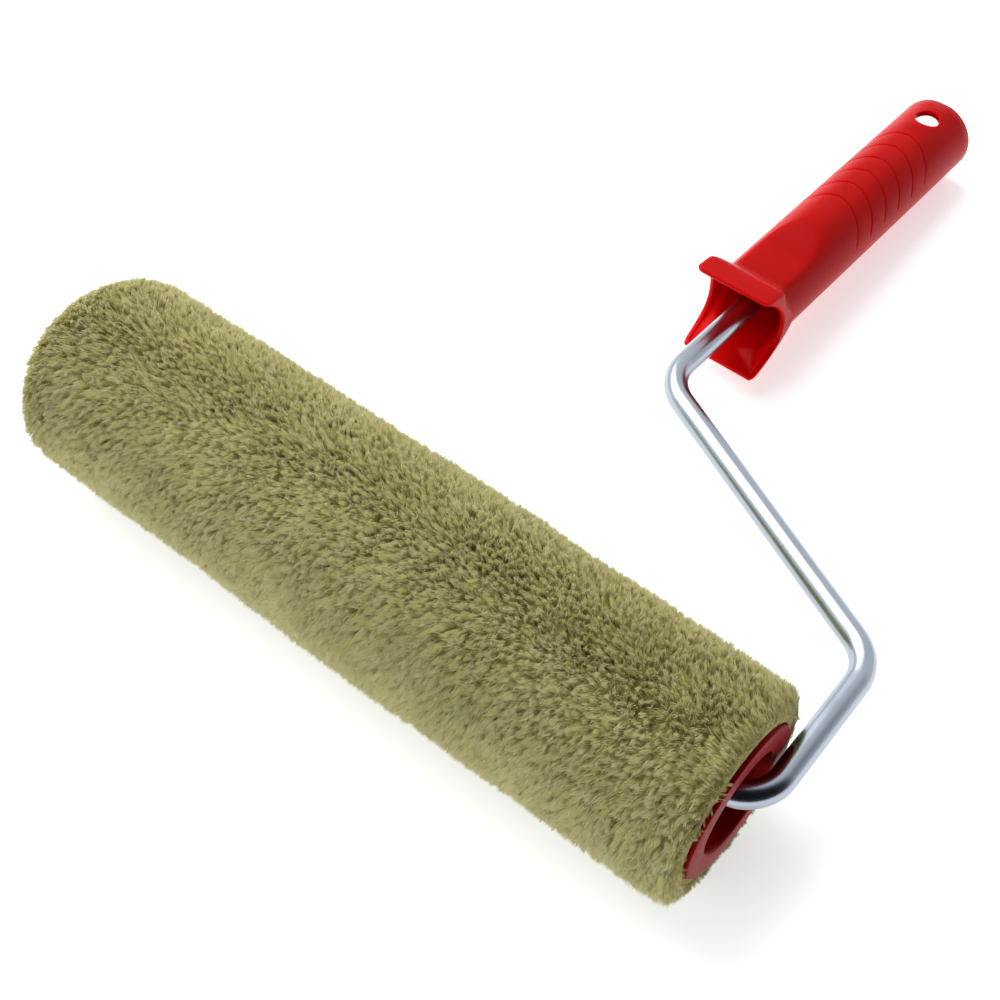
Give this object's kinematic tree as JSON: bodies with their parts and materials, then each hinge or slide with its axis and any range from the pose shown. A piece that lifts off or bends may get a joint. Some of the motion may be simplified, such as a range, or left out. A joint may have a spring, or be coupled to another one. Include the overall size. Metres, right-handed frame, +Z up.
{
  "type": "paint roller",
  "caption": "Paint roller: a plush sleeve between recessed end caps spins on a cranked steel wire frame with a hollow grooved plastic handle.",
  "frame": {"origin": "centre of the object's footprint, on the floor it lies on", "axes": "+Y from the sleeve towards the rear end of the handle, +X along the axle towards the end where the wire enters, +Z up from the floor"},
  "size_m": [0.2586, 0.3328, 0.0668],
  "materials": {
    "red_plastic": "satin moulded polypropylene",
    "natural_plastic": "matte unpigmented polypropylene",
    "backing_cloth": "knitted backing",
    "plush_pile": "long plush pile",
    "zinc_steel": "bright zinc plating"
  },
  "bodies": {
    "frame": {"wire_frame": "zinc_steel", "handle": "red_plastic", "stop_ring": "zinc_steel", "lock_washer": "zinc_steel"},
    "roller": {"pile": "plush_pile", "pile_backing": "backing_cloth", "core_tube": "natural_plastic", "end_cap_near": "red_plastic", "end_cap_far": "red_plastic", "bush_near": "natural_plastic", "bush_far": "natural_plastic"}
  },
  "joints": [
    {"name": "roller_spin", "type": "hinge", "parent": "frame", "child": "roller", "pos_m": [-0.00445, -0.13296, 0.0334], "axis": [1, 0, 0], "continuous": true}
  ]
}
